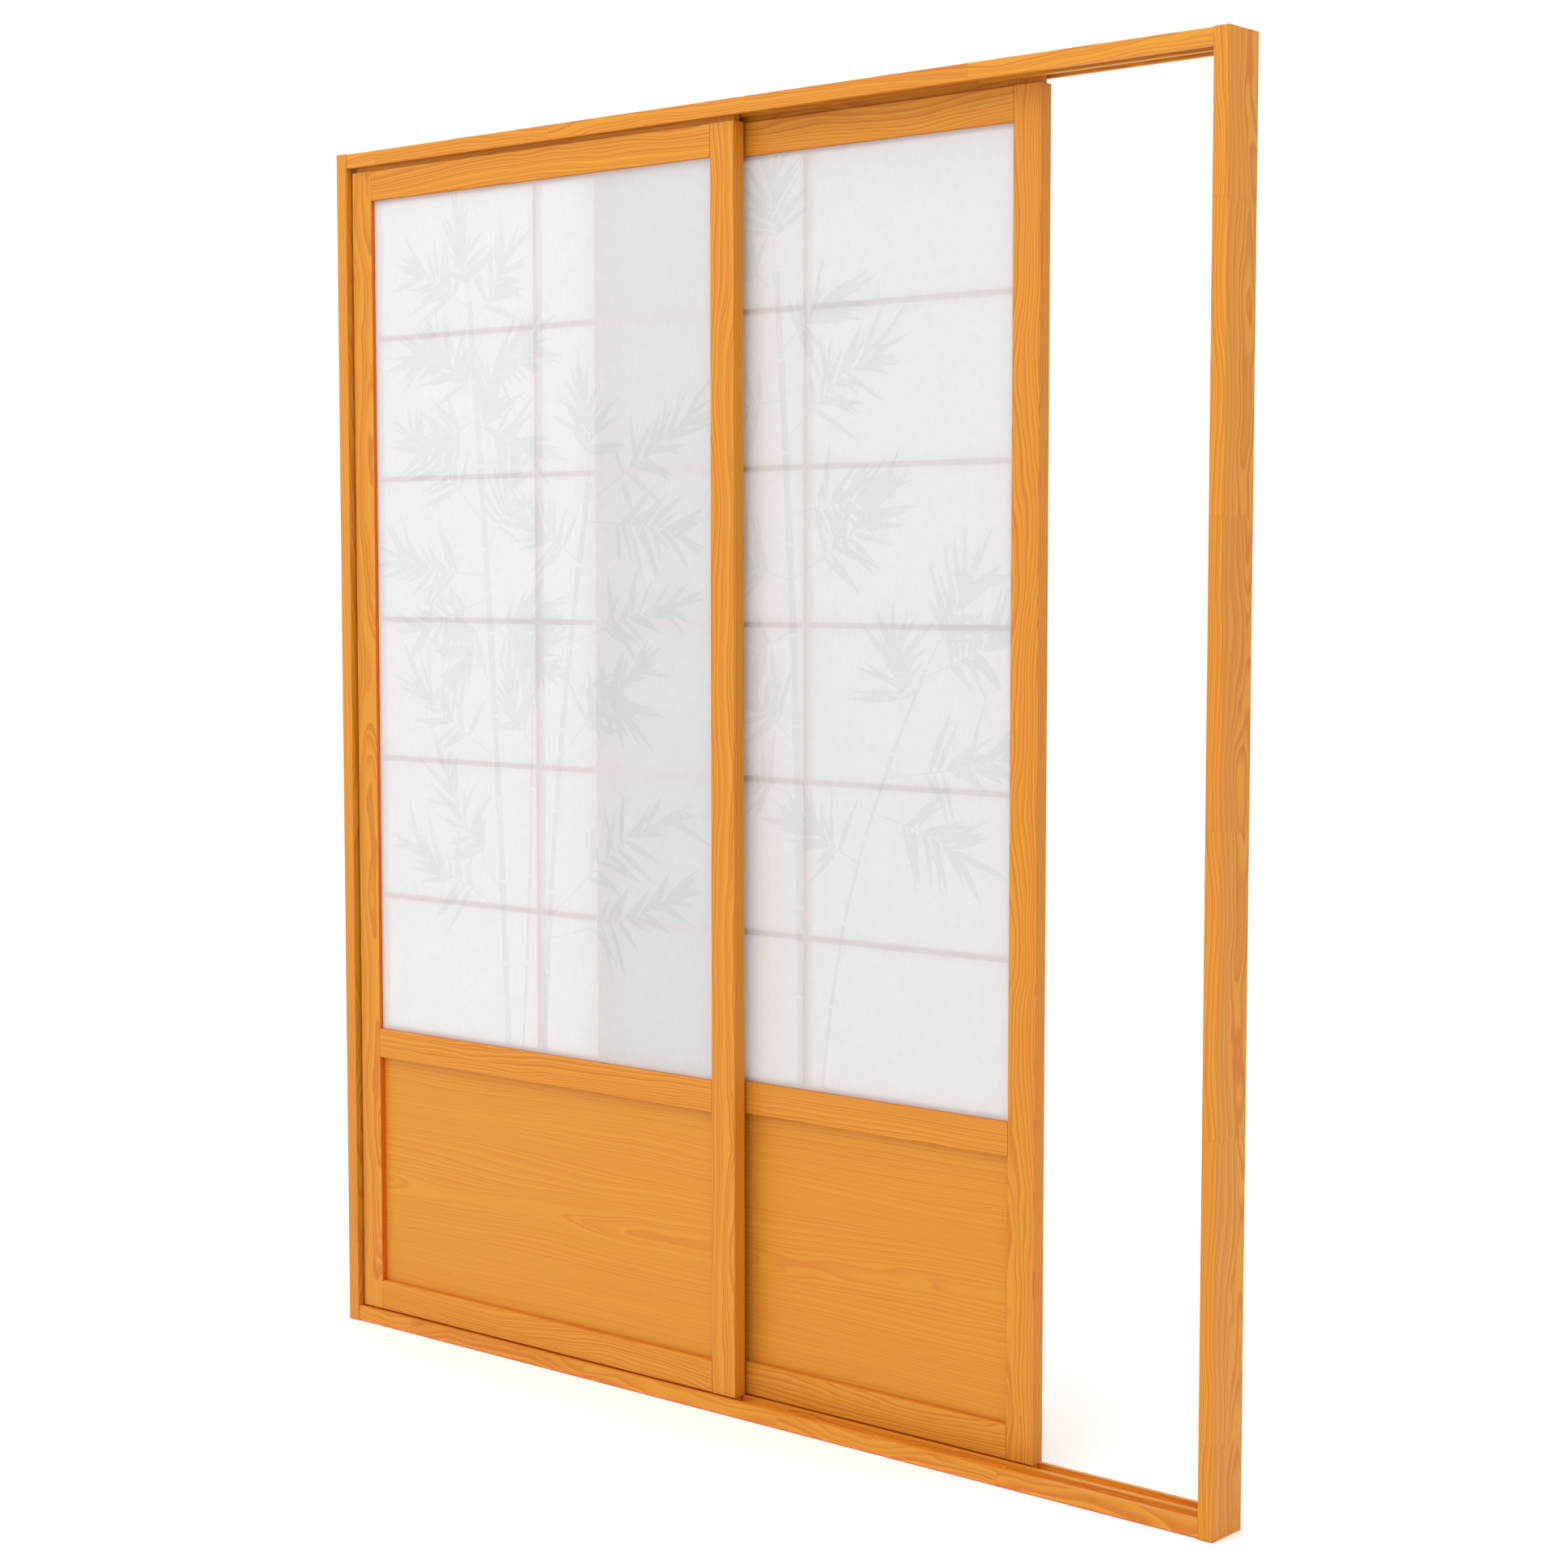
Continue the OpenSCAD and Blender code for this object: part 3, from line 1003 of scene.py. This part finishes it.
@dataclass
class PrintedSheet:
    """A thin closed sheet whose faces are cut along the edges of the marks printed on it."""

    low: Vector
    high: Vector
    weld: float = 0.02 * MM

    def mesh(self, name: str, marks: bpy.types.Mesh) -> bpy.types.Mesh:
        """Cuts the sheet along the marks and gives it its thickness.

        Args:
            name: Name of the mesh.
            marks: Flat marks in the plane of the sheet.

        Returns:
            The sheet, with its ink attribute at 1 on the printed faces.
        """
        corners, tiles, inked = self._tiles(marks)
        count = len(corners)
        points = [(corner.x, depth, corner.y) for depth in (self.low.y, self.high.y) for corner in corners]
        faces = [tuple(tile) for tile in tiles]
        faces += [tuple(count + corner for corner in reversed(tile)) for tile in tiles]
        sides = {side for tile in tiles for side in zip(tile, tile[1:] + tile[:1])}
        rim = sorted(side for side in sides if (side[1], side[0]) not in sides)
        faces += [(there, here, count + here, count + there) for here, there in rim]
        mesh = bpy.data.meshes.new(name)
        mesh.from_pydata(points, [], faces)
        ink = inked + inked + [0.0] * len(rim)
        mesh.attributes.new("ink", "FLOAT", "FACE").data.foreach_set("value", ink)
        return mesh

    def _tiles(self, marks: bpy.types.Mesh) -> tuple[list[Vector], list[list[int]], list[float]]:
        """Parts the sheet's front into triangles that lie wholly in or out of the marks.

        Args:
            marks: Flat marks in the plane of the sheet.

        Returns:
            The corners as seen from the front, the triangles, and 1 for each triangle that is printed.
        """
        low, high = self.low, self.high
        points = [Vector(place) for place in (low.xz, (high.x, low.z), high.xz, (low.x, high.z))]
        outlines = [[0, 1, 2, 3]]
        for polygon in marks.polygons:
            loop = [marks.vertices[number].co.xz for number in polygon.vertices]
            area = sum(here.cross(there) for here, there in zip(loop, loop[1:] + loop[:1]))
            if area < 0.0:
                loop.reverse()
            outlines.append(list(range(len(points), len(points) + len(loop))))
            points += loop
        cut = delaunay_2d_cdt(points, [], outlines, 1, self.weld, True)
        kept = [(tile, parents) for tile, parents in zip(cut[2], cut[5]) if 0 in parents]
        used = sorted({corner for tile, _ in kept for corner in tile})
        number = {corner: place for place, corner in enumerate(used)}
        tiles = [[number[corner] for corner in tile] for tile, _ in kept]
        inked = [1.0 if len(parents) > 1 else 0.0 for _, parents in kept]
        return [cut[0][corner] for corner in used], tiles, inked


@dataclass
class ShojiPanel:
    """One sliding panel: stiles and rails, a board below, and printed paper on its lattice above."""

    track: Track
    bamboo: BambooPrint
    paper: WashiPaper
    first_seed: int
    cross_bars: int = 5
    sheet_gap: float = 0.10 * MM

    @property
    def body(self) -> str:
        """Name of the CAD body that the panel's pieces ride on."""
        return f"{self.track.value}_panel"

    def node(self, part: str) -> str:
        """Returns the CAD name of one of this panel's parts."""
        return f"{self.track.value}_{part}"

    def dress(self) -> None:
        """Gives each wooden part its own wood."""
        uprights = {"left_stile": PANEL_PINE, "right_stile": PANEL_PINE}
        uprights |= {"left_border": LATTICE_PINE, "right_border": LATTICE_PINE, "upright_bar": LATTICE_PINE}
        level = {"top_rail": RAIL_PINE, "middle_rail": RAIL_PINE, "bottom_rail": RAIL_PINE}
        level |= {"board": BOARD_PINE, "top_border": LATTICE_PINE, "bottom_border": LATTICE_PINE}
        level |= {f"cross_bar_{number}": LATTICE_PINE for number in range(1, self.cross_bars + 1)}
        ends = (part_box(self.node("left_stile"))[1].x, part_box(self.node("right_stile"))[0].x)
        # way along X of each stile's rebate, whose side faces get painted shade
        rebates = {"left_stile": 1.0, "right_stile": -1.0}
        seed = self.first_seed
        for parts, grain, joints in ((uprights, Grain.ALONG_Z, ()), (level, Grain.ALONG_X, ends)):
            for part, finish in parts.items():
                dress_node(self.node(part), finish, grain, seed, joints, rebates.get(part, 0.0))
                seed += 1

    def hang_paper(self) -> None:
        """Glues a printed sheet of washi on the lattice in place of the CAD sheet."""
        low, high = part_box(self.node("paper"))
        high.y -= self.sheet_gap
        name = self.node("washi")
        washi = self.paper.material(name, self.first_seed)
        marks = self.bamboo.marks(name, low, high, washi)
        mesh = PrintedSheet(low, high).mesh(name, marks)
        bpy.data.meshes.remove(marks)
        mesh.materials.append(washi)
        sheet = bpy.data.objects.new(name, mesh)
        bpy.context.scene.collection.objects.link(sheet)
        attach(sheet, self.body)
        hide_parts(self.node("paper"))
        log.info("hung %s of %d faces", name, len(mesh.polygons))


@dataclass(frozen=True)
class SoftLight:
    """Large square light that faces the door: its place, the length of its sides and its watts."""

    name: str
    place: tuple[float, float, float]
    size: float
    power: float

    def hang(self) -> None:
        """Hangs the light."""
        light = bpy.data.lights.new(self.name, "AREA")
        light.shape = "SQUARE"
        light.size = self.size
        light.energy = self.power
        lamp = bpy.data.objects.new(self.name, light)
        lamp.location = self.place
        target = (cad_low + cad_high) / 2
        lamp.rotation_euler = (target - lamp.location).to_track_quat("-Z", "Y").to_euler()
        bpy.context.scene.collection.objects.link(lamp)


@dataclass
class Studio:
    """Pale floor, white surroundings, three large soft lights and the camera."""

    camera_place: tuple[float, float, float] = (2.9695, -3.3355, 1.3472)
    camera_heading: float = 40.762
    camera_pitch: float = -4.253
    lens: float = 64.71
    sensor: float = 36.0
    sky: float = 1.10
    lights: tuple[SoftLight, ...] = (
        SoftLight("key", (-2.4, -5.0, 3.6), size=3.2, power=36.0),
        SoftLight("fill", (5.2, -4.2, 2.4), size=3.0, power=6.0),
        SoftLight("top", (0.4, -2.2, 6.6), size=5.0, power=190.0),
    )
    bounces: int = 12
    floor_size: float = 60.0
    floor_colour: Colour = (0.985, 0.983, 0.980)
    floor_dimming: float = 0.97
    floor_roughness: float = 0.7
    mottle_detail: float = 4.0
    mottle_roughness: float = 0.6

    def build(self) -> None:
        """Sets up everything around the door."""
        self._surroundings()
        self._floor()
        for light in self.lights:
            light.hang()
        self._camera()
        scene = bpy.context.scene
        scene.view_settings.view_transform = "Standard"
        scene.cycles.max_bounces = self.bounces
        scene.cycles.diffuse_bounces = self.bounces
        log.info("set up the studio")

    def _surroundings(self) -> None:
        """Lights the door evenly from all round."""
        world = bpy.data.worlds.new("studio")
        world.use_nodes = True
        background = world.node_tree.nodes["Background"]
        background.inputs["Color"].default_value = (1.0, 1.0, 1.0, 1.0)
        background.inputs["Strength"].default_value = self.sky
        bpy.context.scene.world = world

    def _floor(self) -> None:
        """Lays a pale floor with a faint mottle."""
        half = self.floor_size / 2
        mesh = bpy.data.meshes.new("floor")
        corners = [(-half, -half, 0.0), (half, -half, 0.0), (half, half, 0.0), (-half, half, 0.0)]
        mesh.from_pydata(corners, [], [(0, 1, 2, 3)])
        material, graph, shader = blank_material("floor")
        place = graph.node("ShaderNodeTexCoord").outputs["Object"]
        mottle = graph.noise(place, self.mottle_detail, self.mottle_roughness).outputs[0]
        darker = tuple(self.floor_dimming * channel for channel in self.floor_colour)
        graph.feed(shader.inputs["Base Color"], graph.mix(mottle, rgba(self.floor_colour), rgba(darker)))
        shader.inputs["Roughness"].default_value = self.floor_roughness
        mesh.materials.append(material)
        floor = bpy.data.objects.new("floor", mesh)
        bpy.context.scene.collection.objects.link(floor)

    def _camera(self) -> None:
        """Stands the camera on the right, in front of the paper side."""
        lens = bpy.data.cameras.new("camera")
        lens.sensor_width = self.sensor
        lens.lens = self.lens
        camera = bpy.data.objects.new("camera", lens)
        camera.location = self.camera_place
        camera.rotation_euler = (
            math.radians(90.0 + self.camera_pitch),
            0.0,
            math.radians(self.camera_heading),
        )
        bpy.context.scene.collection.objects.link(camera)
        bpy.context.scene.camera = camera


FRONT_GROVE = BambooPrint(
    stalks=(
        Stalk(
            foot=0.405, head=0.300, top=0.875, width=15.0 * MM, bow=0.012,
            sprays=sprays(
                (0.985, 100.0, 0.13), (0.985, 148.0, 0.14), (0.96, 48.0, 0.14), (0.92, 172.0, 0.14),
                (0.90, 14.0, 0.14), (0.86, 132.0, 0.12), (0.84, 204.0, 0.13), (0.83, -18.0, 0.13),
                (0.80, 66.0, 0.11), (0.70, 138.0, 0.24), (0.66, 58.0, 0.16), (0.63, 176.0, 0.22),
                (0.60, 198.0, 0.18), (0.585, 232.0, 0.15), (0.57, -34.0, 0.14), (0.56, 12.0, 0.12),
                (0.385, 152.0, 0.23), (0.20, 128.0, 0.25), (0.18, 158.0, 0.24),
            ),
        ),
        Stalk(
            foot=0.515, head=0.655, top=0.66, width=12.5 * MM, bow=-0.022,
            sprays=sprays(
                (1.0, 92.0, 0.13), (0.96, 28.0, 0.26), (0.93, -4.0, 0.22), (0.86, 148.0, 0.13),
                (0.72, 18.0, 0.24), (0.66, -22.0, 0.14), (0.52, 44.0, 0.24), (0.24, 38.0, 0.34),
                (0.20, 14.0, 0.32),
            ),
        ),
        Stalk(
            foot=0.450, head=0.485, top=0.41, width=7.0 * MM, bow=0.006,
            sprays=sprays((1.0, 78.0, 0.12), (0.86, 122.0, 0.10)),
        ),
    ),
    seed=5,
)
REAR_GROVE = BambooPrint(
    stalks=(
        Stalk(
            foot=0.490, head=0.425, top=0.88, width=15.0 * MM, bow=0.016,
            sprays=sprays(
                (1.0, 96.0, 0.14), (0.97, 148.0, 0.14), (0.90, 36.0, 0.13), (0.84, 186.0, 0.14),
                (0.79, 40.0, 0.22), (0.70, 10.0, 0.17), (0.62, 30.0, 0.22), (0.62, 164.0, 0.15),
                (0.56, 206.0, 0.14), (0.42, 142.0, 0.15), (0.36, 172.0, 0.15),
            ),
        ),
        Stalk(
            foot=0.545, head=0.800, top=0.46, width=7.0 * MM, bow=-0.050,
            sprays=sprays(
                (1.0, 58.0, 0.15), (0.97, 22.0, 0.17), (0.86, 98.0, 0.12), (0.74, 8.0, 0.24),
                (0.66, -14.0, 0.18), (0.54, 156.0, 0.12),
            ),
        ),
    ),
    seed=9,
)


def main() -> None:
    """Builds the frame's and the panels' looks in order, then the studio."""
    logging.basicConfig(level=logging.INFO, format="%(name)s: %(message)s")
    DoorFrame().dress()
    panels = (
        ShojiPanel(Track.FRONT, FRONT_GROVE, WashiPaper(), first_seed=31),
        ShojiPanel(Track.REAR, REAR_GROVE, REAR_WASHI_PAINTED_SHADE, first_seed=83),
    )
    for panel in panels:
        panel.dress()
        panel.hang_paper()
    Studio().build()


if __name__ == "__main__":
    main()
